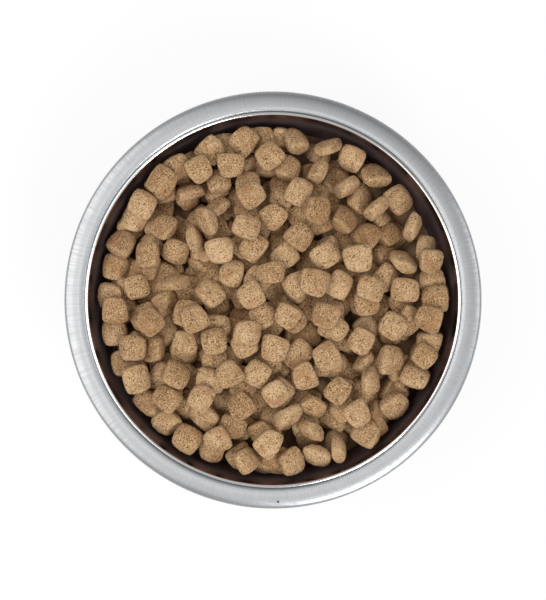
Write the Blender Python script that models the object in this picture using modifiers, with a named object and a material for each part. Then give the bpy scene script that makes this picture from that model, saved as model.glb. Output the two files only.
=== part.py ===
"""Steel feeding bowl filled with pillow-shaped dry kibble.

The bowl is one pressed sheet: a flat base, a rounded corner, a steep leaning wall, a small
bead and groove at the mouth, and a wide crowned flange whose edge curls down. The food is a
bed of kibble fused to the mass underneath it, with loose pieces lying on the bed. Each piece
is dropped on a height map of what is already in the bowl, so that it rests on its neighbours.
"""
import math

import bmesh
import bpy
import numpy as np
from mathutils import Matrix

# Bowl, in metres: +Z is up and the origin is under the middle of the base
MOUTH_DIAMETER = 0.1459
FLANGE_WIDTH = 0.00955
BOWL_HEIGHT = 0.050
SHEET = 0.0007
WALL_LEAN = math.radians(12)
CORNER_RADIUS = 0.012
BEAD_RADIUS = 0.00105
BEAD_DROP = 0.0005
GROOVE_DEPTH = 0.0005
GROOVE_WIDTH = 0.0014
FLANGE_CROWN = 0.00035
CURL_RADIUS = 0.0018
CURL_END = math.radians(-45)

# Food: how far below the rim the solid mass ends at the wall, and how high its middle stands
FILL_DEPTH = 0.0116
HEAP_RISE = 0.0055
FOOD_CLEARANCE = 0.0003

# One kibble, in metres, and its form as shares of its own size
KIBBLE_LENGTH = 0.0112
KIBBLE_WIDTH = 0.0106
KIBBLE_THICKNESS = 0.0064
SIZE_SPREAD = 0.06
SKEW = 0.07
CORNER_ROUNDING = 0.20
LENGTH_TAPER = 0.58
WIDTH_TAPER = 0.22

# The fused bed: how deep its kibbles stand in the mass, and how they bite into each other
BED_COUNT = 84
WALL_RING_COUNT = 36
BED_SINK = (0.0014, 0.0029)
BED_BITE = 0.0005
BED_LEAN = math.radians(24)
BED_EDGE_SHARE = 0.10

# The loose kibbles on the bed
LOOSE_COUNT = 58
LOOSE_LEAN = math.radians(19)
LOOSE_EDGE_SHARE = 0.06

# A kibble on its edge leans by an angle in this range
EDGE_LEAN = (math.radians(40), math.radians(90))

# Steps of the meshes and of the height map
BOWL_SEGMENTS = 48
ARC_STEPS = 3
DOME_STEPS = 3
GRID_CELLS = 400
FACET_SAMPLES = 36
TRIES = 500
SEED = 7


def clear_scene():
    """Remove what the file holds already."""
    for old in list(bpy.data.objects):
        bpy.data.objects.remove(old, do_unlink=True)


def make_collection(name):
    """A collection linked to the scene."""
    group = bpy.data.collections.new(name)
    bpy.context.scene.collection.children.link(group)
    return group


def make_material(name, color, roughness, metallic):
    """A Principled material."""
    material = bpy.data.materials.new(name)
    material.use_nodes = True
    shader = material.node_tree.nodes["Principled BSDF"]
    shader.inputs["Base Color"].default_value = (*color, 1)
    shader.inputs["Roughness"].default_value = roughness
    shader.inputs["Metallic"].default_value = metallic
    return material


def arc(center, radius, start, end):
    """Points (radius, height) along an arc between two angles from +X, both included."""
    angles = [start + (end - start) * i / ARC_STEPS for i in range(ARC_STEPS + 1)]
    return [(center[0] + radius * math.cos(a), center[1] + radius * math.sin(a)) for a in angles]


def bead_center():
    """Radius and height of the middle of the bead at the mouth."""
    return MOUTH_DIAMETER / 2 + BEAD_RADIUS, BOWL_HEIGHT - BEAD_DROP - BEAD_RADIUS


def wall_top():
    """Radius and height where the wall's inner face runs into the bead."""
    radius, height = bead_center()
    return radius - BEAD_RADIUS * math.cos(WALL_LEAN), height + BEAD_RADIUS * math.sin(WALL_LEAN)


def wall_radius(height, inset):
    """Radius of the wall's inner face at a height, moved inwards by inset."""
    top_radius, top_height = wall_top()
    return top_radius - (top_height - height) * math.tan(WALL_LEAN) - inset / math.cos(WALL_LEAN)


def corner_center():
    """Radius and height of the middle of the rounded corner between base and wall."""
    height = SHEET + CORNER_RADIUS
    foot_height = height - CORNER_RADIUS * math.sin(WALL_LEAN)
    return wall_radius(foot_height, 0) - CORNER_RADIUS * math.cos(WALL_LEAN), height


def base_profile(inset):
    """Inner face of the base and the corner, from the axis to the foot of the wall."""
    corner = arc(corner_center(), CORNER_RADIUS - inset, -math.pi / 2, -WALL_LEAN)
    return [(0, SHEET + inset)] + corner


def rim_profile():
    """Upper face of the bead, the groove, the crowned flange and the curl."""
    groove_middle = MOUTH_DIAMETER / 2 + 2 * BEAD_RADIUS
    groove = (groove_middle, BOWL_HEIGHT - BEAD_DROP - GROOVE_DEPTH)
    bead_end = math.acos((groove_middle - GROOVE_WIDTH / 2 - bead_center()[0]) / BEAD_RADIUS)
    bead = arc(bead_center(), BEAD_RADIUS, math.pi - WALL_LEAN, bead_end)
    flange_start = groove_middle + GROOVE_WIDTH / 2
    flange_end = MOUTH_DIAMETER / 2 + FLANGE_WIDTH - CURL_RADIUS
    edge_height = BOWL_HEIGHT - FLANGE_CROWN
    crown = ((flange_start + flange_end) / 2, BOWL_HEIGHT)
    curl = arc((flange_end, edge_height - CURL_RADIUS), CURL_RADIUS, math.pi / 2, CURL_END)
    return bead + [groove, (flange_start, edge_height), crown] + curl


def turned_object(name, points, segments, group):
    """Object turned about Z from a profile of (radius, height) points."""
    mesh = bpy.data.meshes.new(name)
    edges = [(i, i + 1) for i in range(len(points) - 1)]
    mesh.from_pydata([(radius, 0, height) for radius, height in points], edges, [])
    turned = bpy.data.objects.new(name, mesh)
    group.objects.link(turned)
    screw = turned.modifiers.new("Turn", "SCREW")
    screw.axis = "Z"
    screw.angle = math.tau
    screw.steps = segments
    screw.render_steps = segments
    screw.use_merge_vertices = True
    screw.merge_threshold = 0.00001
    screw.use_smooth_shade = True
    return turned


def make_bowl(group, material):
    """The pressed bowl: its upper face turned about Z, with the sheet's thickness below it."""
    bowl = turned_object("bowl", base_profile(0) + rim_profile(), BOWL_SEGMENTS, group)
    shell = bowl.modifiers.new("Sheet", "SOLIDIFY")
    shell.thickness = SHEET
    shell.offset = -1
    shell.use_even_offset = True
    bowl.data.materials.append(material)
    return bowl


def mass_edge():
    """Radius and height of the edge of the solid mass, where it meets the wall."""
    height = BOWL_HEIGHT - FILL_DEPTH
    return wall_radius(height, FOOD_CLEARANCE), height


def dome_height(radius):
    """Height of the top of the solid mass under the bed, highest on the axis."""
    edge_radius, edge_height = mass_edge()
    return edge_height + HEAP_RISE * (1 - np.clip(radius / edge_radius, 0, 1) ** 2)


def make_mass(group, material):
    """The solid mass of food that the bed is fused to, clear of the bowl all round."""
    radii = [mass_edge()[0] * i / DOME_STEPS for i in range(DOME_STEPS + 1)]
    dome = [(radius, float(dome_height(radius))) for radius in radii]
    below = base_profile(FOOD_CLEARANCE)[::-1]
    mass = turned_object("kibble_bed", dome + below, BOWL_SEGMENTS // 2, group)
    mass.data.materials.append(material)
    return mass


def pillow(cube, form, growth=0):
    """Pillow form of a kibble from cube coordinates between -1 and 1.

    The sides draw in towards the corners by CORNER_ROUNDING, the two faces thin out from
    the middle by LENGTH_TAPER and WIDTH_TAPER, and each way across is wider at one end by
    its skew. growth moves the whole surface outwards.
    """
    (length, width, thickness), (length_skew, width_skew) = form
    u, v, w = np.asarray(cube).T
    x = (length / 2 + growth) * u * np.sqrt(1 - CORNER_ROUNDING * v * v) * (1 + length_skew * v)
    y = (width / 2 + growth) * v * np.sqrt(1 - CORNER_ROUNDING * u * u) * (1 + width_skew * u)
    z = (thickness / 2 + growth) * w * (1 - LENGTH_TAPER * u * u) * (1 - WIDTH_TAPER * v * v)
    return np.stack([x, y, z], axis=-1)


def kibble_corners():
    """Cube coordinates of a kibble's 18 vertices: three by three on each face."""
    return np.array([(u, v, w) for u in (-1, 0, 1) for v in (-1, 0, 1) for w in (-1, 1)], float)


def facet_weights():
    """Weights that turn a kibble's 18 vertices into points spread densely over its facets."""
    line = np.linspace(-1, 1, FACET_SAMPLES)
    a, b = (grid.ravel() for grid in np.meshgrid(line, line))
    one = np.ones_like(a)
    sides = [(a, b, one), (a, b, -one), (one, a, b), (-one, a, b), (a, one, b), (a, -one, b)]
    u, v, w = (np.concatenate(axis)[:, None] for axis in zip(*sides))
    corner_u, corner_v, corner_w = kibble_corners().T
    near_u = np.clip(1 - abs(u - corner_u), 0, 1)
    near_v = np.clip(1 - abs(v - corner_v), 0, 1)
    return near_u * near_v * (1 + w * corner_w) / 2


def random_form(rng):
    """Length, width and thickness of one kibble, and its skew each way across."""
    size = np.array([KIBBLE_LENGTH, KIBBLE_WIDTH, KIBBLE_THICKNESS])
    spread = np.clip(rng.standard_normal(5), -2, 2)
    return size * (1 + SIZE_SPREAD * spread[:3]), SKEW * spread[3:]


def random_turn(rng, lean, edge_share):
    """Rotation of one kibble: mostly near flat, and some on edge."""
    spin, yaw = rng.uniform(0, math.tau, 2)
    tilt = lean * abs(rng.standard_normal())
    if rng.random() < edge_share:
        tilt = rng.uniform(*EDGE_LEAN)
    matrix = Matrix.Rotation(yaw, 3, "Z") @ Matrix.Rotation(tilt, 3, "X")
    return np.array(matrix @ Matrix.Rotation(spin, 3, "Z"))


def grid_places():
    """Middle of each grid cell along X, and along Y as well."""
    reach = MOUTH_DIAMETER / 2 + KIBBLE_LENGTH
    return (np.arange(GRID_CELLS) + 0.5 - GRID_CELLS / 2) * 2 * reach / GRID_CELLS


def random_cells(rng, place, inner, outer):
    """Grid cells to try, spread evenly at random between two radii about the bowl's axis."""
    radius = np.sqrt(rng.uniform(inner ** 2, outer ** 2, TRIES))
    angle = rng.uniform(0, math.tau, TRIES)
    points = radius[:, None] * np.stack([np.cos(angle), np.sin(angle)], axis=-1)
    return np.rint((points - place[0]) / (place[1] - place[0])).astype(int)


def footprint(points, cell_size):
    """First grid cell under the points, and their lowest and highest place in each cell."""
    cells = np.rint(points[:, :2] / cell_size).astype(int)
    first = cells.min(axis=0)
    shape = cells.max(axis=0) - first + 1
    index = (cells[:, 0] - first[0]) * shape[1] + cells[:, 1] - first[1]
    low = np.full(shape[0] * shape[1], np.inf)
    high = np.full(shape[0] * shape[1], -np.inf)
    np.minimum.at(low, index, points[:, 2])
    np.maximum.at(high, index, points[:, 2])
    return first, low.reshape(shape), high.reshape(shape)


def patch_under(surface, foot, cell):
    """The part of a height map that a kibble centred on a cell covers."""
    first, low, high = foot
    x, y = cell + first
    return surface[x:x + low.shape[0], y:y + low.shape[1]]


def rest_height(surface, foot, cell):
    """Height of a kibble's centre when it comes to rest on a height map."""
    return float((patch_under(surface, foot, cell) - foot[1]).max())


def raise_surface(surface, foot, cell, height):
    """Raise a height map to the upper side of a kibble."""
    patch = patch_under(surface, foot, cell)
    np.maximum(patch, foot[2] + height, out=patch)


def deepest_rest(cells, foot, rests, floor, dome):
    """Cell and height where a kibble lies deepest against the dome, among the cells tried.

    rests gives each height map with the footprint that rests on it and the depth that it
    sinks in. A place where the kibble would cut into the bowl is passed over.
    """
    best = (math.inf, cells[0], dome.max())
    for cell in cells:
        height = max(rest_height(top, under, cell) - sink for top, under, sink in rests)
        depth = height - dome[tuple(cell)]
        if depth < best[0] and height >= rest_height(floor, foot, cell):
            best = (depth, cell, height)
    return best[1:]


def bowl_floor(radius):
    """Lowest height that food may have at each radius inside the bowl."""
    center_radius, center_height = corner_center()
    top_radius, top_height = wall_top()
    corner = CORNER_RADIUS - FOOD_CLEARANCE
    across = np.clip(radius - center_radius, 0, corner)
    rounded = center_height - np.sqrt(corner ** 2 - across ** 2)
    wall = top_height - (wall_radius(top_height, FOOD_CLEARANCE) - radius) / math.tan(WALL_LEAN)
    height = np.where(across > corner * math.cos(WALL_LEAN), wall, rounded)
    return np.minimum(height, BOWL_HEIGHT + FOOD_CLEARANCE)


def pack_food():
    """Places of the bed's kibbles and of the loose ones, each as (form, rotation, centre)."""
    rng = np.random.default_rng(SEED)
    corners = kibble_corners()
    weights = facet_weights()
    place = grid_places()
    cell_size = place[1] - place[0]
    radius = np.hypot(*np.meshgrid(place, place, indexing="ij"))
    floor = bowl_floor(radius + cell_size)
    dome = dome_height(radius)
    mass = np.maximum(floor, dome)
    surface = mass.copy()
    cores = np.full_like(mass, -1)
    mouth = MOUTH_DIAMETER / 2
    by_wall = wall_radius(mass_edge()[1], KIBBLE_LENGTH / 2)
    wall_ring = (by_wall - KIBBLE_THICKNESS / 8, by_wall + KIBBLE_THICKNESS / 3)

    def next_foot(form, rotation, growth):
        """Footprint of a kibble that is larger all round by growth."""
        return footprint(weights @ pillow(corners, form, growth) @ rotation.T, cell_size)

    bed = []
    for number in range(BED_COUNT):
        form = random_form(rng)
        rotation = random_turn(rng, BED_LEAN, BED_EDGE_SHARE)
        foot = next_foot(form, rotation, 0)
        core = next_foot(form, rotation, -BED_BITE)
        cells = random_cells(rng, place, *(wall_ring if number < WALL_RING_COUNT else (0, mouth)))
        rests = [(mass, foot, rng.uniform(*BED_SINK)), (cores, core, 0)]
        cell, height = deepest_rest(cells, foot, rests, floor, dome)
        raise_surface(surface, foot, cell, height)
        raise_surface(cores, core, cell, height)
        bed.append((form, rotation, (*place[cell], height)))

    loose = []
    for number in range(LOOSE_COUNT):
        form = random_form(rng)
        rotation = random_turn(rng, LOOSE_LEAN, LOOSE_EDGE_SHARE)
        grown = next_foot(form, rotation, FOOD_CLEARANCE)
        cells = random_cells(rng, place, 0, mouth)
        cell, height = deepest_rest(cells, grown, [(surface, grown, 0)], floor, dome)
        raise_surface(surface, next_foot(form, rotation, 0), cell, height)
        loose.append((form, rotation, (*place[cell], height)))
    return bed, loose


def kibble_mesh(name, form, material):
    """One kibble: a cube cut in four from above and drawn into the pillow form."""
    cube = bmesh.new()
    bmesh.ops.create_cube(cube, size=2)
    level = [edge for edge in cube.edges if edge.verts[0].co.z == edge.verts[1].co.z]
    bmesh.ops.subdivide_edges(cube, edges=level, cuts=1, use_grid_fill=True)
    for vertex in cube.verts:
        vertex.co = pillow(vertex.co, form)
    bmesh.ops.triangulate(cube, faces=cube.faces[:])
    mesh = bpy.data.meshes.new(name)
    cube.to_mesh(mesh)
    cube.free()
    mesh.materials.append(material)
    mesh.shade_smooth()
    return mesh


def place_kibble(name, kibble, group, material):
    """Object for one packed kibble."""
    form, rotation, center = kibble
    placed = bpy.data.objects.new(name, kibble_mesh(name, form, material))
    placed.matrix_world = Matrix.Translation(center) @ Matrix(rotation.tolist()).to_4x4()
    group.objects.link(placed)
    return placed


def fuse_bed(bed, mass, group, material):
    """Join the bed's kibbles to the mass with one union."""
    for number, kibble in enumerate(bed, 1):
        fused = place_kibble(f"fused_{number:03d}", kibble, group, material)
        fused.hide_render = True
        fused.display_type = "WIRE"
    join = mass.modifiers.new("Fuse", "BOOLEAN")
    join.operation = "UNION"
    join.solver = "EXACT"
    join.operand_type = "COLLECTION"
    join.collection = group


def main():
    clear_scene()
    parts = make_collection("bowl_of_kibble")
    cutters = make_collection("fused_kibble")
    steel = make_material("bowl_steel", (0.72, 0.73, 0.74), 0.24, 1)
    food = make_material("kibble_brown", (0.37, 0.24, 0.13), 0.85, 0)
    make_bowl(parts, steel)
    bed, loose = pack_food()
    fuse_bed(bed, make_mass(parts, food), cutters, food)
    for number, kibble in enumerate(loose, 1):
        place_kibble(f"kibble_{number:02d}", kibble, parts, food)


main()
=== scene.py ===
# A steel feeding bowl full of pillow-shaped dry kibble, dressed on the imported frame
import math

import bpy
import numpy as np
from mathutils import Matrix, Vector


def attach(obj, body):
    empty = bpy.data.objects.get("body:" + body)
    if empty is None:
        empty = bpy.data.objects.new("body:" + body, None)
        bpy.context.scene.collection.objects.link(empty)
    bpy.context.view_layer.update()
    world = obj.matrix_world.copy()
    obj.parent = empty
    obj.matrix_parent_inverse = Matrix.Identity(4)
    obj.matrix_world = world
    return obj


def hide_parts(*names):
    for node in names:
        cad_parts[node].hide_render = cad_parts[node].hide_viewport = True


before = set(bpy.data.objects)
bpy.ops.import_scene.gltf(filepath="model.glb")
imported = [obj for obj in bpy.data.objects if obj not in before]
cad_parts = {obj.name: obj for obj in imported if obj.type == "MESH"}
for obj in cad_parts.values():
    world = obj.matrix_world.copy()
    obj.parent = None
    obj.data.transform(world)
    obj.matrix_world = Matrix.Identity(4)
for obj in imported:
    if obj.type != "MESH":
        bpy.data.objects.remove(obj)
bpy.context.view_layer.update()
print("stage 1: frame loaded with", len(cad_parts), "nodes")


# Links a mesh made from whole arrays of points and faces, smooth and with its material
def meshObject(name, points, faces, material):
    mesh = bpy.data.meshes.new(name)
    mesh.from_pydata(np.asarray(points).tolist(), [], [list(face) for face in faces])
    mesh.materials.append(material)
    mesh.shade_smooth()
    thing = bpy.data.objects.new(name, mesh)
    bpy.context.scene.collection.objects.link(thing)
    return thing


# Writes one number or one vector for each point of a mesh
def pointValues(thing, name, values):
    values = np.asarray(values, dtype=np.float32)
    kind = "FLOAT" if values.ndim == 1 else "FLOAT_VECTOR"
    layer = thing.data.attributes.new(name, kind, "POINT")
    layer.data.foreach_set("value" if values.ndim == 1 else "vector", values.ravel())


def newMaterial(name):
    material = bpy.data.materials.new(name)
    material.use_nodes = True
    nodes = material.node_tree.nodes
    return material, nodes, nodes["Principled BSDF"]


# Links or sets a node's inputs, which are given by name or number
def setInputs(node, inputs):
    for key, value in inputs.items():
        if isinstance(value, bpy.types.NodeSocket):
            node.id_data.links.new(value, node.inputs[key])
        else:
            node.inputs[key].default_value = value
    return node


def addNode(nodes, kind, inputs=None, **properties):
    node = nodes.new(kind)
    for key, value in properties.items():
        setattr(node, key, value)
    return setInputs(node, inputs or {})


def mathNode(nodes, operation, first, second=0.0):
    return addNode(nodes, "ShaderNodeMath", {0: first, 1: second}, operation=operation).outputs[0]


def plus(nodes, first, second):
    return mathNode(nodes, "ADD", first, second)


def times(nodes, first, second):
    return mathNode(nodes, "MULTIPLY", first, second)


def vectorNode(nodes, x, y, z):
    return addNode(nodes, "ShaderNodeCombineXYZ", {0: x, 1: y, 2: z}).outputs[0]


def vectorMath(nodes, operation, inputs, output="Vector"):
    return addNode(nodes, "ShaderNodeVectorMath", inputs, operation=operation).outputs[output]


# Straight ramp from one range to another, clamped at both ends
def rampNode(nodes, value, low, high, toLow=0.0, toHigh=1.0):
    inputs = {"Value": value, "From Min": low, "From Max": high, "To Min": toLow, "To Max": toHigh}
    return addNode(nodes, "ShaderNodeMapRange", inputs).outputs["Result"]


def mixColor(nodes, factor, first, second):
    inputs = {0: factor, 6: first, 7: second}  # the sockets for colours are 6 and 7
    return addNode(nodes, "ShaderNodeMix", inputs, data_type="RGBA").outputs[2]


def noiseNode(nodes, vector, scale, detail=2.0, roughness=0.5):
    inputs = {"Vector": vector, "Scale": scale, "Detail": detail, "Roughness": roughness}
    return addNode(nodes, "ShaderNodeTexNoise", inputs).outputs["Fac"]


def cellNode(nodes, vector, scale):
    inputs = {"Vector": vector, "Scale": scale}
    return addNode(nodes, "ShaderNodeTexVoronoi", inputs).outputs["Distance"]


def bumpNode(nodes, height, distance):
    inputs = {"Height": height, "Strength": 1.0, "Distance": distance}
    return addNode(nodes, "ShaderNodeBump", inputs).outputs[0]


def objectPlace(nodes):
    return addNode(nodes, "ShaderNodeTexCoord").outputs["Object"]


def pointAttribute(nodes, name, output="Fac"):
    return addNode(nodes, "ShaderNodeAttribute", attribute_name=name).outputs[output]


bowlValues = {
    "mouthDiameter": 0.1459,
    "flangeWidth": 0.00955,
    "height": 0.050,
    "sheet": 0.0007,
    "wallLean": math.radians(12),
    "cornerRadius": 0.012,
    "beadRadius": 0.00105,
    "beadDrop": 0.0005,
    "flangeCrown": 0.00035,
    "curlRadius": 0.0018,
    "curlEnd": math.radians(-45),
    "segments": 240,
}


def outerRadius():
    return bowlValues["mouthDiameter"] / 2 + bowlValues["flangeWidth"]


def beadCenter():
    radius, height = bowlValues["mouthDiameter"] / 2, bowlValues["height"]
    bead = bowlValues["beadRadius"]
    return radius + bead, height - bowlValues["beadDrop"] - bead


def wallTop():
    lean, bead = bowlValues["wallLean"], bowlValues["beadRadius"]
    radius, height = beadCenter()
    return radius - bead * math.cos(lean), height + bead * math.sin(lean)


# The wall's inner radius falls off by the lean's tangent below the bead
def wallRadius(height, inset):
    topRadius, topHeight = wallTop()
    lean = bowlValues["wallLean"]
    return topRadius - (topHeight - height) * math.tan(lean) - inset / math.cos(lean)


def cornerCenter():
    corner, lean = bowlValues["cornerRadius"], bowlValues["wallLean"]
    height = bowlValues["sheet"] + corner
    return wallRadius(height - corner * math.sin(lean), 0) - corner * math.cos(lean), height


# Points on a circle's arc: centre plus radius times (cosine, sine)
def arcPoints(center, radius, start, end, count):
    angle = np.linspace(start, end, count)
    across = center[0] + radius * np.cos(angle)
    return np.stack([across, center[1] + radius * np.sin(angle)], axis=-1)


rimValues = {
    "lineRadius": 0.00075,  # the polished bead that draws the bright line round the mouth, helped by a pale painted highlight
    "lineHeight": 0.00040,  # how far its top stands below the flange's crown
    "lineEnd": math.radians(25),
    "grooveMiddle": (0.07462, 0.04910),
    "flangeStart": (0.07485, 0.04972),
    "crownRadius": 0.0768,
    "rollPower": 3.0,  # the higher, the flatter the flange and the tighter its roll
}


# Upper face of the sheet from the axis to the curl's end, as (radius, height), with a zone number
# for its finish: 0 inner wall and base, 1 bead and groove, 2 flange and curl.
# The flange rises to its crown as a parabola and falls from it as a quarter superellipse:
# share of the height = (1 - share of the width ^ power) ^ (1 / power).
def upperProfile():
    lean, line, power = bowlValues["wallLean"], rimValues["lineRadius"], rimValues["rollPower"]
    height, center, outer = bowlValues["height"], cornerCenter(), outerRadius()
    level = np.full(7, bowlValues["sheet"])
    base = np.stack([np.linspace(0, center[0], 8)[:-1], level], axis=-1)
    corner = arcPoints(center, bowlValues["cornerRadius"], -math.pi / 2, -lean, 12)
    lineMiddle = (bowlValues["mouthDiameter"] / 2 + line, height - rimValues["lineHeight"] - line)
    bead = arcPoints(lineMiddle, line, math.pi - lean, rimValues["lineEnd"], 12)
    wall = corner[-1] + (bead[0] - corner[-1]) * np.linspace(0, 1, 8)[1:-1, None]
    groove = np.array([rimValues["grooveMiddle"]])

    crown, start = rimValues["crownRadius"], rimValues["flangeStart"]
    toCrown = np.linspace(1, 0, 9)
    riseHeight = height - (height - start[1]) * toCrown ** 2
    rise = np.stack([crown - (crown - start[0]) * toCrown, riseHeight], axis=-1)
    curlHeight = height - bowlValues["flangeCrown"] - bowlValues["curlRadius"]
    across = np.sin(np.linspace(0, math.pi / 2, 20)[1:])
    sink = np.clip(1 - across ** power, 0, 1) ** (1 / power)
    fallHeight = curlHeight + (height - curlHeight) * sink
    fall = np.stack([crown + (outer - crown) * across, fallHeight], axis=-1)
    curlCenter = (outer - bowlValues["curlRadius"], curlHeight)
    curl = arcPoints(curlCenter, bowlValues["curlRadius"], 0, bowlValues["curlEnd"], 6)[1:]

    parts = [base, corner, wall, bead, groove, rise, fall, curl]
    numbers = (0, 0, 0, 1, 1, 2, 2, 2)
    zone = np.concatenate([np.full(len(part), number) for part, number in zip(parts, numbers)])
    return np.concatenate(parts), zone


# The sheet's underside lies one thickness along the normal below each point of the upper face
def lowerProfile(upper):
    slope = np.gradient(upper, axis=0)
    slope /= np.linalg.norm(slope, axis=1, keepdims=True)
    lower = upper - bowlValues["sheet"] * np.stack([-slope[:, 1], slope[:, 0]], axis=-1)
    lower[:, 0] = np.maximum.accumulate(np.maximum(lower[:, 0], 0))
    lower[0] = (0, upper[0, 1] - bowlValues["sheet"])
    return lower


# Turns a closed profile about the axis: x = radius times cosine, y = radius times sine.
# The first and last points lie on the axis and become single poles.
def turnedSurface(profile, segments):
    angle = np.arange(segments) * math.tau / segments
    ring = profile[1:-1]
    points = np.stack([
        ring[:, None, 0] * np.cos(angle), ring[:, None, 0] * np.sin(angle),
        np.broadcast_to(ring[:, None, 1], (len(ring), segments)),
    ], axis=-1).reshape(-1, 3)
    row = np.arange(len(ring) - 1)[:, None] * segments
    column = np.arange(segments)
    beside = (column + 1) % segments
    above = row + segments
    quads = np.stack([row + column, row + beside, above + beside, above + column], axis=-1)
    first, last = len(points), len(points) + 1
    lastRow = (len(ring) - 1) * segments
    start = np.stack([np.full(segments, first), beside, column], axis=-1)
    end = np.stack([np.full(segments, last), lastRow + column, lastRow + beside], axis=-1)
    faces = quads.reshape(-1, 4).tolist() + start.tolist() + end.tolist()
    poles = [(0, 0, profile[0, 1]), (0, 0, profile[-1, 1])]
    return np.concatenate([points, poles]), faces


# Colours and radii in metres; a share says how far a colour is mixed in at most
steelValues = {
    "color": (0.55, 0.56, 0.57, 1),
    # painted reflection: the inner wall and base are painted dark reddish, as if mirroring shaded
    # kibble
    "paintedWallReflection": (0.31, 0.26, 0.28, 1),
    # painted highlight: the bead is painted near white so that it reads as a bright line
    "paintedBeadHighlight": (0.95, 0.95, 0.95, 1),
    "streakColor": (0.38, 0.40, 0.42, 1),
    "cloudColor": (0.50, 0.53, 0.56, 1),
    "turnedColor": (0.36, 0.37, 0.39, 1),
    # painted shade: the colour of the dark lines at and just past the groove
    "paintedGrooveShadeColor": (0.13, 0.135, 0.14, 1),
    "outsideColor": (0.60, 0.61, 0.62, 1),
    "outsideLines": (0.50, 0.51, 0.53, 1),
    "speckColor": (0.09, 0.08, 0.07, 1),
    "grazeTint": (0.55, 0.47, 0.49, 1),
    "wallRoughness": 0.5,
    "beadRoughness": 0.16,
    "flangeRoughness": 0.35,
    "streakRoughness": (-0.05, 0.07),
    "streaks": 95,  # the higher, the finer the streaks that run out across the flange
    "streakStretch": 60.0,
    "streakShare": 0.6,
    "cloudScale": 0.06,
    "cloudShare": 0.25,
    "turnedLines": 3600.0,
    "turnedBand": (0.0742, 0.0748, 0.0764, 0.0772),  # fades in and out at these radii
    "turnedShare": 0.35,
    "outsideScale": (9.0, 2400.0),  # round the outside, and up it
    "bump": 0.00002,
    "beadStart": 0.07312,
    "beadEnd": 0.07435,
    "beadFade": 0.0001,
    # painted reflection bands: radius from and to, and how much paler or darker the steel is
    # painted at the end than at the start
    "paintedReflectionBands": [
        (0.0749, 0.0757, 1.45),
        (0.0760, 0.0790, 0.70),
        (0.0792, 0.0806, 0.76),
        (0.0810, 0.0816, 1.30),
    ],
    # painted shade lines at and just past the groove
    "paintedGrooveShadeLines": [(0.07455, 0.00012, 0.5), (0.07518, 0.00008, 0.2)],  # radius, half width, share
    "speckPlace": (0.0020, -0.0796),
    "speckRadius": 0.0005,
}
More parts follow.
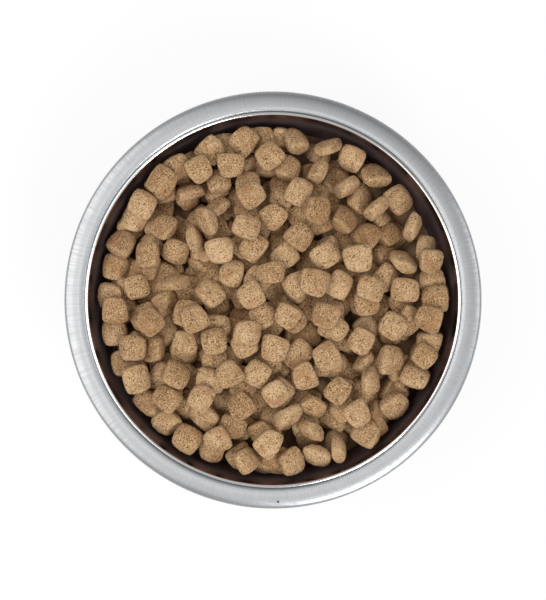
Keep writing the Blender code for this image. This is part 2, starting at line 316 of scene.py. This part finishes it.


# Brushed steel: fine radial streaks on the flange, faint turned lines beside the groove and on
# the outside, a polished bead. Painted light: a dark reddish painted reflection on the inner wall
# and base, a pale painted highlight on the bead, painted reflection bands across the flange,
# painted shade lines at the groove
def steelMaterial():
    values = steelValues
    material, nodes, shader = newMaterial("brushedSteel")
    x, y, z = addNode(nodes, "ShaderNodeSeparateXYZ", {0: objectPlace(nodes)}).outputs
    flat = vectorNode(nodes, x, y, 0.0)
    radius = vectorMath(nodes, "LENGTH", {0: flat}, "Value")
    toward = vectorMath(nodes, "NORMALIZE", {0: flat})
    towardX, towardY, _ = addNode(nodes, "ShaderNodeSeparateXYZ", {0: toward}).outputs
    around = vectorNode(
        nodes, times(nodes, towardX, values["streaks"]), times(nodes, towardY, values["streaks"]),
        times(nodes, radius, values["streakStretch"]))
    zone = pointAttribute(nodes, "finishZone")
    outside = rampNode(nodes, zone, 2.5, 3.0)
    inside = rampNode(nodes, zone, 2.5, 3.0, 1.0, 0.0)
    onFlange = times(nodes, rampNode(nodes, zone, 1.5, 2.0), inside)
    byGroove = times(
        nodes, rampNode(nodes, radius, *values["turnedBand"][:2]),
        rampNode(nodes, radius, *values["turnedBand"][2:], 1.0, 0.0))

    streak = noiseNode(nodes, around, 1.0, 4.0, 0.65)
    cloud = noiseNode(nodes, around, values["cloudScale"])
    rings = vectorNode(nodes, times(nodes, radius, values["turnedLines"]), 0.0, z)
    turned = noiseNode(nodes, rings, 1.0, 3.0, 0.7)
    roundScale, upScale = values["outsideScale"]
    levels = vectorNode(
        nodes, times(nodes, z, upScale), times(nodes, x, roundScale), times(nodes, y, roundScale))
    lathe = noiseNode(nodes, levels, 1.0, 3.0, 0.6)

    start, end, fade = values["beadStart"], values["beadEnd"], values["beadFade"]
    onBead = rampNode(nodes, radius, start, start + 1.2 * fade)
    # inside the bead the steel takes the dark reddish painted reflection, on the bead a pale
    # painted highlight
    gray = mixColor(nodes, onBead, values["paintedWallReflection"], values["paintedBeadHighlight"])
    pastBead = rampNode(nodes, radius, end - fade, end + fade)
    gray = mixColor(nodes, pastBead, gray, values["color"])
    streakShare = rampNode(nodes, streak, 0.38, 0.62, 0.0, values["streakShare"])
    gray = mixColor(nodes, times(nodes, onFlange, streakShare), gray, values["streakColor"])
    cloudShare = rampNode(nodes, cloud, 0.35, 0.65, 0.0, values["cloudShare"])
    gray = mixColor(nodes, times(nodes, onFlange, cloudShare), gray, values["cloudColor"])
    turnedMark = times(nodes, rampNode(nodes, turned, 0.55, 0.35), byGroove)
    turnedShare = times(nodes, turnedMark, values["turnedShare"])
    gray = mixColor(nodes, turnedShare, gray, values["turnedColor"])
    # painted reflection: the flange's colour is made paler and darker by radius
    for start, end, gain in values["paintedReflectionBands"]:
        tone = rampNode(nodes, radius, start, end, 1.0, gain)
        gray = vectorMath(nodes, "SCALE", {0: gray, "Scale": tone})
    # painted shade: thin dark lines at and just past the groove
    for middle, halfWidth, share in values["paintedGrooveShadeLines"]:
        away = mathNode(nodes, "ABSOLUTE", mathNode(nodes, "SUBTRACT", radius, middle))
        line = rampNode(nodes, away, halfWidth, halfWidth * 1.8, share, 0.0)
        gray = mixColor(nodes, line, gray, values["paintedGrooveShadeColor"])
    onLines = rampNode(nodes, lathe, 0.35, 0.65)
    brushed = mixColor(nodes, onLines, values["outsideColor"], values["outsideLines"])
    gray = mixColor(nodes, outside, gray, brushed)
    speckAway = vectorMath(nodes, "DISTANCE", {0: flat, 1: (*values["speckPlace"], 0)}, "Value")
    speckRadius = values["speckRadius"]
    speck = rampNode(nodes, speckAway, speckRadius * 0.7, speckRadius * 1.2, 1.0, 0.0)
    gray = mixColor(nodes, speck, gray, values["speckColor"])

    beadRough, flangeRough = values["beadRoughness"], values["flangeRoughness"]
    rough = rampNode(nodes, zone, 0.0, 1.0, values["wallRoughness"], beadRough)
    rough = plus(nodes, rough, rampNode(nodes, zone, 1.0, 2.0, 0.0, flangeRough - beadRough))
    streakRough = rampNode(nodes, streak, 0.3, 0.7, *values["streakRoughness"])
    rough = plus(nodes, rough, times(nodes, onFlange, streakRough))
    relief = plus(nodes, times(nodes, onFlange, streak), times(nodes, byGroove, turned))
    relief = plus(nodes, relief, times(nodes, outside, lathe))
    setInputs(shader, {
        "Base Color": gray, "Roughness": rough, "Normal": bumpNode(nodes, relief, values["bump"]),
        "Metallic": 1, "Specular Tint": values["grazeTint"],
    })
    return material


def makeBowl():
    upper, zone = upperProfile()
    lower = lowerProfile(upper)
    profile = np.concatenate([upper, lower[::-1]])
    zones = np.concatenate([zone, np.full(len(zone), 3)])  # 3 is the outside
    points, faces = turnedSurface(profile, bowlValues["segments"])
    steelBowl = meshObject("steelBowl", points, faces, steelMaterial())
    ringZones = np.repeat(zones[1:-1], bowlValues["segments"])
    pointValues(steelBowl, "finishZone", np.append(ringZones, [0, 3]))
    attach(steelBowl, "root")
    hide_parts("bowl")
    return steelBowl


steelBowl = makeBowl()
print("stage 2: bowl turned,", len(steelBowl.data.polygons), "faces")


foodValues = {
    "fillDepth": 0.0116,
    "heapRise": 0.0055,
    "clearance": 0.0003,
    "size": (0.0112, 0.0106, 0.0064),
    "sizeSpread": 0.06,
    "skew": 0.07,
    "cornerRounding": 0.20,
    "lengthTaper": 0.58,
    "widthTaper": 0.22,
    "bedCount": 84,
    "wallRingCount": 36,
    "bedSink": (0.0014, 0.0029),
    "bedBite": 0.0005,
    "bedLean": math.radians(24),
    "bedEdgeShare": 0.10,
    "looseCount": 58,
    "looseLean": math.radians(19),
    "looseEdgeShare": 0.06,
    "edgeLean": (math.radians(40), math.radians(90)),
    "gridCells": 400,
    "facetSamples": 36,
    "tries": 500,
    "seed": 7,
    # each lower layer: how deep it lies, how far below the dome a kibble has to rest to be kept,
    # and how many are dropped
    "deepLayers": [(0.0052, 0.0016, 260), (0.0086, 0.0050, 200)],
    "deepCore": 0.001,
    "deepBite": 0.0012,
    "deepTries": 120,
    "deepRingCount": 40,
    "deepSeed": 21,
}


# Radius and height of the line where the heap's dome meets the wall
def domeEdge():
    height = bowlValues["height"] - foodValues["fillDepth"]
    return wallRadius(height, foodValues["clearance"]), height


# The heap's top falls from the axis to the wall with the square of the radius
def domeHeight(radius):
    edgeRadius, edgeHeight = domeEdge()
    return edgeHeight + foodValues["heapRise"] * (1 - np.clip(radius / edgeRadius, 0, 1) ** 2)


# Pillow form over the cube coordinates u, v and w, from -1 to 1: the sides draw in by the square
# of the other coordinate, the two faces thin out from the middle, and each way across is wider
# at one end by its skew
def pillow(u, v, w, size, skew, growth=0):
    rounding = foodValues["cornerRounding"]
    length, width, thickness = size
    x = (length / 2 + growth) * u * np.sqrt(1 - rounding * v * v) * (1 + skew[0] * v)
    y = (width / 2 + growth) * v * np.sqrt(1 - rounding * u * u) * (1 + skew[1] * u)
    z = (thickness / 2 + growth) * w * (1 - foodValues["lengthTaper"] * u * u)
    return x, y, z * (1 - foodValues["widthTaper"] * v * v)


def kibbleCorners():
    sides = (-1, 0, 1)
    return np.array([(u, v, w) for u in sides for v in sides for w in (-1, 1)], float)


# Weights that spread points over the facets between a kibble's 18 corners
def facetWeights():
    line = np.linspace(-1, 1, foodValues["facetSamples"])
    a, b = (grid.ravel() for grid in np.meshgrid(line, line))
    one = np.ones_like(a)
    sides = [(a, b, one), (a, b, -one), (one, a, b), (-one, a, b), (a, one, b), (a, -one, b)]
    u, v, w = (np.concatenate(axis)[:, None] for axis in zip(*sides))
    cornerU, cornerV, cornerW = kibbleCorners().T
    share = np.clip(1 - abs(u - cornerU), 0, 1) * np.clip(1 - abs(v - cornerV), 0, 1)
    return share * (1 + w * cornerW) / 2


def randomForm(rng):
    spread = np.clip(rng.standard_normal(5), -2, 2)
    size = np.array(foodValues["size"]) * (1 + foodValues["sizeSpread"] * spread[:3])
    return size, foodValues["skew"] * spread[3:]


# A turn about the upright, a lean, and a turn about the kibble's own short way
def randomTurn(rng, lean, edgeShare):
    spin, yaw = rng.uniform(0, math.tau, 2)
    tilt = lean * abs(rng.standard_normal())
    if rng.random() < edgeShare:
        tilt = rng.uniform(*foodValues["edgeLean"])
    matrix = Matrix.Rotation(yaw, 3, "Z") @ Matrix.Rotation(tilt, 3, "X")
    return np.array(matrix @ Matrix.Rotation(spin, 3, "Z"))


def randomCells(rng, place, inner, outer):
    radius = np.sqrt(rng.uniform(inner ** 2, outer ** 2, foodValues["tries"]))
    angle = rng.uniform(0, math.tau, foodValues["tries"])
    points = radius[:, None] * np.stack([np.cos(angle), np.sin(angle)], axis=-1)
    return np.rint((points - place[0]) / (place[1] - place[0])).astype(int)


# Lowest and highest point of a kibble over each cell of the height map
def footprint(points, cellSize):
    cells = np.rint(points[:, :2] / cellSize).astype(int)
    first = cells.min(axis=0)
    shape = cells.max(axis=0) - first + 1
    index = (cells[:, 0] - first[0]) * shape[1] + cells[:, 1] - first[1]
    low = np.full(shape[0] * shape[1], np.inf)
    high = np.full(shape[0] * shape[1], -np.inf)
    np.minimum.at(low, index, points[:, 2])
    np.maximum.at(high, index, points[:, 2])
    return first, low.reshape(shape), high.reshape(shape)


def patchUnder(surface, foot, cell):
    first, low, high = foot
    x, y = cell + first
    return surface[x:x + low.shape[0], y:y + low.shape[1]]


def restHeight(surface, foot, cell):
    return float((patchUnder(surface, foot, cell) - foot[1]).max())


def raiseSurface(surface, foot, cell, height):
    patch = patchUnder(surface, foot, cell)
    np.maximum(patch, foot[2] + height, out=patch)


# The place, among those tried, where a kibble lies deepest against the dome
def deepestRest(cells, foot, rests, floor, dome):
    best = (math.inf, cells[0], dome.max())
    for cell in cells:
        height = max(restHeight(top, under, cell) - sink for top, under, sink in rests)
        depth = height - dome[tuple(cell)]
        if depth < best[0] and height >= restHeight(floor, foot, cell):
            best = (depth, cell, height)
    return best[1:]


# Lowest height that food may have at each radius: the base, the rounded corner, then the wall
def bowlFloor(radius):
    clearance = foodValues["clearance"]
    centerRadius, centerHeight = cornerCenter()
    topRadius, topHeight = wallTop()
    lean = bowlValues["wallLean"]
    corner = bowlValues["cornerRadius"] - clearance
    across = np.clip(radius - centerRadius, 0, corner)
    rounded = centerHeight - np.sqrt(corner ** 2 - across ** 2)
    wall = topHeight - (wallRadius(topHeight, clearance) - radius) / math.tan(lean)
    height = np.where(across > corner * math.cos(lean), wall, rounded)
    return np.minimum(height, bowlValues["height"] + clearance)


# Drops the bed's kibbles and the loose ones on height maps, just as the solids were laid, and
# then two lower layers that fill the gaps seen between them
def packFood():
    values = foodValues
    rng = np.random.default_rng(values["seed"])
    corners, weights = kibbleCorners().T, facetWeights()
    mouth = bowlValues["mouthDiameter"] / 2
    reach = mouth + values["size"][0]
    gridCells = values["gridCells"]
    place = (np.arange(gridCells) + 0.5 - gridCells / 2) * 2 * reach / gridCells
    cellSize = place[1] - place[0]
    radius = np.hypot(*np.meshgrid(place, place, indexing="ij"))
    floor = bowlFloor(radius + cellSize)
    dome = domeHeight(radius)
    mass = np.maximum(floor, dome)
    surface = mass.copy()
    cores = np.full_like(mass, -1)
    byWall = wallRadius(domeEdge()[1], values["size"][0] / 2)
    wallRing = (byWall - values["size"][2] / 8, byWall + values["size"][2] / 3)

    def nextKibble(lean, edgeShare):
        form = randomForm(rng)
        return form, randomTurn(rng, lean, edgeShare)

    def footOf(form, rotation, growth):
        points = np.stack(pillow(*corners, *form, growth), axis=-1)
        return footprint(weights @ points @ rotation.T, cellSize)

    bed = []
    for number in range(values["bedCount"]):
        form, rotation = nextKibble(values["bedLean"], values["bedEdgeShare"])
        foot = footOf(form, rotation, 0)
        core = footOf(form, rotation, -values["bedBite"])
        ring = wallRing if number < values["wallRingCount"] else (0, mouth)
        cells = randomCells(rng, place, *ring)
        rests = [(mass, foot, rng.uniform(*values["bedSink"])), (cores, core, 0)]
        cell, height = deepestRest(cells, foot, rests, floor, dome)
        raiseSurface(surface, foot, cell, height)
        raiseSurface(cores, core, cell, height)
        bed.append((form, rotation, (*place[cell], height)))

    loose = []
    for number in range(values["looseCount"]):
        form, rotation = nextKibble(values["looseLean"], values["looseEdgeShare"])
        grown = footOf(form, rotation, values["clearance"])
        cells = randomCells(rng, place, 0, mouth)
        cell, height = deepestRest(cells, grown, [(surface, grown, 0)], floor, dome)
        raiseSurface(surface, footOf(form, rotation, 0), cell, height)
        loose.append((form, rotation, (*place[cell], height)))

    rng = np.random.default_rng(values["deepSeed"])
    deep = []
    for drop, below, count in values["deepLayers"]:
        lowDome = dome - drop
        cores = np.maximum(floor, lowDome) - values["deepCore"]
        for number in range(count):
            form, rotation = nextKibble(values["bedLean"], values["bedEdgeShare"])
            core = footOf(form, rotation, -values["deepBite"])
            foot = footOf(form, rotation, 0)
            ring = wallRing if number < values["deepRingCount"] else (0, mouth)
            cells = randomCells(rng, place, *ring)[:values["deepTries"]]
            cell, height = deepestRest(cells, foot, [(cores, core, 0)], floor, lowDome)
            raiseSurface(cores, core, cell, height)
            if height < dome[tuple(cell)] - below:
                deep.append((form, rotation, (*place[cell], height)))
    return bed, loose, deep


bedKibbles, looseKibbles, deepKibbles = packFood()
print("stage 3: food packed:", len(bedKibbles), "in the bed,", len(looseKibbles), "loose,",
      len(deepKibbles), "below")


kibbleValues = {
    "edgeLine": 0.66,  # where the rounding towards the edge begins, as a share of the half width
    "edgeDraw": 0.055,  # how far the two faces' edges stand in from the widest line
    "cornerPull": 0.07,  # how far the corners of the outline are drawn in
    "cornerWander": 0.00038,
    "lump": 0.00010,  # how far two slow waves dent a kibble
    "lumpWaves": (3.1, 4.3),
    "middleRadius": 0.0045,
    "shrink": 0.985,
    "toneSpread": 0.2,
    "wornFrom": 0.7,
    "wornFade": 0.25,
}


# A block of 4 by 4 by 2 quads: its 66 surface points in cube coordinates and its 64 faces
def kibbleBlock():
    line = np.array([-1, -kibbleValues["edgeLine"], 0, kibbleValues["edgeLine"], 1])
    number = {}
    faces = []
    for axis, columns, rows in ((2, 4, 4), (0, 4, 2), (1, 4, 2)):
        for side in (-1, 1):
            for i in range(columns):
                for j in range(rows):
                    ring = [(i, j), (i + 1, j), (i + 1, j + 1), (i, j + 1)]
                    if axis == 2:
                        keys = [(a, b, 1 + side) for a, b in ring]
                    elif axis == 0:
                        keys = [(2 + 2 * side, a, b) for a, b in ring]
                    else:
                        keys = [(a, 2 + 2 * side, b) for a, b in ring]
                    if (side > 0) == (axis == 1):
                        keys.reverse()
                    faces.append([number.setdefault(key, len(number)) for key in keys])
    keys = np.array(list(number))
    cube = np.stack([line[keys[:, 0]], line[keys[:, 1]], keys[:, 2] - 1.0], axis=-1)
    return cube, np.array(faces)


# All kibbles of one heap as one mesh. Each is the pillow form over the block, with its faces'
# edges and its outline's corners drawn in, its eight corners moved a little and two slow waves
# added, then turned and moved to its place.
def kibbleHeap(name, kibbles, seed, material):
    values = kibbleValues
    rng = np.random.default_rng(seed)
    count = len(kibbles)
    cube, faces = kibbleBlock()
    forms = np.array([np.concatenate(form) for form, _, _ in kibbles])
    turns = np.array([rotation for _, rotation, _ in kibbles])
    places = np.array([center for _, _, center in kibbles])
    u, v, w = cube.T
    columns = [column[:, None] for column in forms.T]
    drawn = (1 - values["edgeDraw"] * w * w) * (1 - values["cornerPull"] * (u * v) ** 4)
    x, y, z = pillow(u, v, w, columns[:3], columns[3:])
    points = np.stack([x * drawn, y * drawn, z], axis=-1) * values["shrink"]

    signs = np.array([(a, b, c) for a in (-1, 1) for b in (-1, 1) for c in (-1, 1)], float)
    share = np.prod((1 + cube[:, None, :] * signs) / 2, axis=-1)
    wander = values["cornerWander"]
    points += share @ rng.uniform(-wander, wander, (count, 8, 3))
    phase = rng.uniform(0, math.tau, (count, 1, 3))
    firstWave, secondWave = values["lumpWaves"]
    waves = np.sin(firstWave * cube + phase)
    waves = waves + np.sin(secondWave * np.roll(cube, 1, axis=1) + 2 * phase)
    points *= 1 - values["lump"] / values["middleRadius"] * (0.5 + 0.25 * waves)
    grain = points + rng.uniform(-1, 1, (count, 1, 3))
    tone = np.clip(0.5 + values["toneSpread"] * rng.standard_normal(count), 0, 1)

    points = np.einsum("nij,npj->npi", turns, points) + places[:, None, :]
    allFaces = faces[None] + (np.arange(count) * len(cube))[:, None, None]
    heap = meshObject(name, points.reshape(-1, 3), allFaces.reshape(-1, 4), material)
    nearEdge = np.sort(np.abs(cube) * (1, 1, 0.95), axis=1)[:, 1]
    worn = np.clip((nearEdge - values["wornFrom"]) / values["wornFade"], 0, 1)
    cut = ((np.abs(w) < 0.5) & (np.abs(v) > 0.9)).astype(float)
    pointValues(heap, "grain", grain.reshape(-1, 3))
    pointValues(heap, "tone", np.repeat(tone, len(cube)))
    pointValues(heap, "worn", np.tile(worn, count))
    pointValues(heap, "cut", np.tile(cut, count))
    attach(heap, "root")
    return heap


# Scales are cells per metre of kibble; a share says how far a colour is mixed in at most
crumbValues = {
    "pale": (0.675, 0.468, 0.268, 1),
    "middle": (0.450, 0.280, 0.140, 1),
    "dark": (0.245, 0.127, 0.053, 1),
    "toasted": (0.35, 0.175, 0.070, 1),
    "pore": (0.085, 0.045, 0.020, 1),
    "cutSide": (0.27, 0.160, 0.078, 1),
    "slowScale": 260.0,
    "fineScale": 1900.0,
    "fineStrength": 0.50,
    "patchScale": 150.0,
    "toastedShare": 0.6,
    "wornShare": 0.28,
    "cutShare": 0.35,
    "poreScale": 900.0,
    "poreSize": (0.14, 0.34),
    "poreFieldScale": 420.0,  # the pores come in fields
    "poreShare": 0.8,
    "lumpScale": 600.0,
    "roughness": 0.9,
    "specular": 0.3,
    "bump": 0.00040,
}


# Baked crumb: mottled tan, small dark pores, toasted patches, paler worn edges, browner cut sides
def crumbMaterial():
    values = crumbValues
    material, nodes, shader = newMaterial("kibbleCrumb")
    grain = pointAttribute(nodes, "grain", "Vector")
    tone = pointAttribute(nodes, "tone")
    worn = pointAttribute(nodes, "worn")
    cut = pointAttribute(nodes, "cut")
    slow = noiseNode(nodes, grain, values["slowScale"])
    fine = noiseNode(nodes, grain, values["fineScale"], 4.0, 0.7)
    patch = noiseNode(nodes, grain, values["patchScale"])
    lumps = noiseNode(nodes, grain, values["lumpScale"], 3.0)
    cells = cellNode(nodes, grain, values["poreScale"])
    field = noiseNode(nodes, grain, values["poreFieldScale"])
    pore = rampNode(nodes, cells, *values["poreSize"], 1.0, 0.0)
    poreHere = times(nodes, pore, rampNode(nodes, field, 0.42, 0.56))

    shade = plus(nodes, times(nodes, tone, 0.5), times(nodes, slow, 0.5))
    strength = values["fineStrength"]
    shade = plus(nodes, shade, rampNode(nodes, fine, 0.36, 0.64, -strength, strength))
    color = mixColor(nodes, rampNode(nodes, shade, 0.15, 0.5), values["dark"], values["middle"])
    color = mixColor(nodes, rampNode(nodes, shade, 0.5, 0.85), color, values["pale"])
    toasted = rampNode(nodes, patch, 0.53, 0.70, 0.0, values["toastedShare"])
    color = mixColor(nodes, toasted, color, values["toasted"])
    wornShare = times(nodes, rampNode(nodes, worn, 0.35, 1.0), values["wornShare"])
    color = mixColor(nodes, wornShare, color, values["pale"])
    color = mixColor(nodes, times(nodes, cut, values["cutShare"]), color, values["cutSide"])
    color = mixColor(nodes, times(nodes, poreHere, values["poreShare"]), color, values["pore"])

    relief = plus(nodes, times(nodes, fine, 0.8), times(nodes, lumps, 0.8))
    relief = mathNode(nodes, "SUBTRACT", relief, times(nodes, poreHere, 0.9))
    setInputs(shader, {
        "Base Color": color, "Normal": bumpNode(nodes, relief, values["bump"]),
        "Roughness": values["roughness"], "Specular IOR Level": values["specular"],
    })
    return material


crumb = crumbMaterial()
looseHeap = kibbleHeap("looseKibble", looseKibbles, 11, crumb)
looseNumbers = range(1, foodValues["looseCount"] + 1)
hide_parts(*[f"kibble_{number:02d}" for number in looseNumbers])
bedHeap = kibbleHeap("bedKibble", bedKibbles, 12, crumb)
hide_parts("kibble_bed")
deepHeap = kibbleHeap("deepKibble", deepKibbles, 13, crumb)
kibbleFaces = sum(len(heap.data.polygons) for heap in (looseHeap, bedHeap, deepHeap))
print("stage 4: kibbles formed,", kibbleFaces, "faces")


massValues = {
    "drop": 0.0086,
    "segments": 64,
    "color": (0.42, 0.255, 0.135, 1),
    # painted shade: the near-black colour towards the edges of the clumps
    "paintedClumpShade": (0.05, 0.028, 0.013, 1),
    "grainColor": (0.20, 0.12, 0.06, 1),
    "clumpScale": 110.0,
    "grainScale": 900.0,
    "roughness": 0.95,
    "bump": 0.002,
}


# Clumped brown crumb for the food below, which only shows as dark gaps; painted shade darkens it
# almost to black towards the edges of the clumps
def deepCrumbMaterial():
    values = massValues
    material, nodes, shader = newMaterial("deepCrumb")
    place = objectPlace(nodes)
    clumps = cellNode(nodes, place, values["clumpScale"])
    fine = noiseNode(nodes, place, values["grainScale"], 4.0)
    # painted shade: the crumb is darkened towards the edges of the clumps
    clumpShadeMask = rampNode(nodes, clumps, 0.2, 0.7)
    color = mixColor(nodes, clumpShadeMask, values["color"], values["paintedClumpShade"])
    onGrain = rampNode(nodes, fine, 0.4, 0.7, 0.0, 0.5)
    color = mixColor(nodes, onGrain, color, values["grainColor"])
    bump = bumpNode(nodes, clumps, values["bump"])
    setInputs(shader, {"Base Color": color, "Normal": bump, "Roughness": values["roughness"]})
    return material


# The food below as one turned body: the dome lowered by the drop, then the bowl's wall and base
def makeMass():
    clearance = foodValues["clearance"]
    top = domeEdge()[1] - massValues["drop"]
    radius = np.linspace(0, wallRadius(top, clearance), 14)
    height = top + foodValues["heapRise"] * (1 - (radius / radius[-1]) ** 2)
    upper = np.stack([radius, height], axis=-1)
    cornerRadius = bowlValues["cornerRadius"] - clearance
    corner = arcPoints(cornerCenter(), cornerRadius, -bowlValues["wallLean"], -math.pi / 2, 8)
    bottom = np.array([[0, bowlValues["sheet"] + clearance]])
    profile = np.concatenate([upper, corner, bottom])[::-1]
    points, faces = turnedSurface(profile, massValues["segments"])
    mass = meshObject("foodMass", points, faces, deepCrumbMaterial())
    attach(mass, "root")


makeMass()
print("stage 5: food below made")


studioValues = {
    "floorSize": 4.0,
    "floorColor": (0.92, 0.92, 0.92, 1),
    "floorClouds": (0.94, 0.94, 0.94, 1),
    "whiteShare": 0.88,  # how far the floor is held at white for the camera and for reflections
    "worldColor": (0.95, 0.945, 0.94, 1),
    "worldStrength": 0.455,
    "lamps": [
        # place, width, height, watts, color
        ((-0.70, 0.02, 0.95), 1.30, 0.85, 7.7, (1.0, 0.985, 0.96)),
        ((0.36, -0.70, 0.90), 0.36, 0.42, 5.9, (1.0, 1.0, 1.0)),
        ((0.80, 0.06, 0.85), 0.60, 0.60, 2.0, (1.0, 1.0, 1.0)),
    ],
    "lampAim": (0, 0, 0.045),
    "cameraHeight": 0.6678,
    "rimHeight": 0.0478,
    "rimPixels": 208.45,
    "pictureHeight": 600,
    "sensorWidth": 36,
}


def makeFloor():
    size = studioValues["floorSize"]
    material, nodes, shader = newMaterial("paleFloor")
    cloud = noiseNode(nodes, objectPlace(nodes), 3.0)
    color = mixColor(nodes, cloud, studioValues["floorColor"], studioValues["floorClouds"])
    setInputs(shader, {"Base Color": color, "Roughness": 0.9})
    path = addNode(nodes, "ShaderNodeLightPath")
    seen = mathNode(nodes, "MAXIMUM", path.outputs["Is Camera Ray"], path.outputs["Is Glossy Ray"])
    glow = {"Color": (1, 1, 1, 1), "Strength": 1.0}
    white = addNode(nodes, "ShaderNodeEmission", glow).outputs[0]
    share = times(nodes, seen, studioValues["whiteShare"])
    both = addNode(nodes, "ShaderNodeMixShader", {0: share, 1: shader.outputs[0], 2: white})
    setInputs(nodes["Material Output"], {"Surface": both.outputs[0]})
    corners = [(-size, -size, 0), (size, -size, 0), (size, size, 0), (-size, size, 0)]
    meshObject("floor", corners, [(0, 1, 2, 3)], material)


def makeLight():
    world = bpy.data.worlds.new("softWorld")
    bpy.context.scene.world = world
    world.use_nodes = True
    glow = {"Color": studioValues["worldColor"], "Strength": studioValues["worldStrength"]}
    setInputs(world.node_tree.nodes["Background"], glow)
    aim = Vector(studioValues["lampAim"])
    for number, (place, width, height, watts, color) in enumerate(studioValues["lamps"], 1):
        lamp = bpy.data.lights.new(f"softbox{number}", "AREA")
        lamp.shape = "RECTANGLE"
        lamp.size, lamp.size_y = width, height
        lamp.energy = watts
        lamp.color = color
        holder = bpy.data.objects.new(f"softbox{number}", lamp)
        holder.location = place
        holder.rotation_euler = (aim - Vector(place)).to_track_quat("-Z", "Y").to_euler()
        bpy.context.scene.collection.objects.link(holder)


# Straight down over the bowl's axis; the lens puts the outer rim at its radius in the picture
def makeCamera():
    camera = bpy.data.objects.new("camera", bpy.data.cameras.new("camera"))
    away = studioValues["cameraHeight"] - studioValues["rimHeight"]
    sensor, pictureHeight = studioValues["sensorWidth"], studioValues["pictureHeight"]
    camera.data.sensor_width = sensor
    camera.data.lens = studioValues["rimPixels"] * sensor / pictureHeight * away / outerRadius()
    camera.data.clip_end = 20
    camera.location = (0, 0, studioValues["cameraHeight"])
    bpy.context.scene.collection.objects.link(camera)
    bpy.context.scene.camera = camera


makeFloor()
makeLight()
makeCamera()
bpy.context.scene.view_settings.view_transform = "Standard"
print("stage 6: floor, light and camera set")
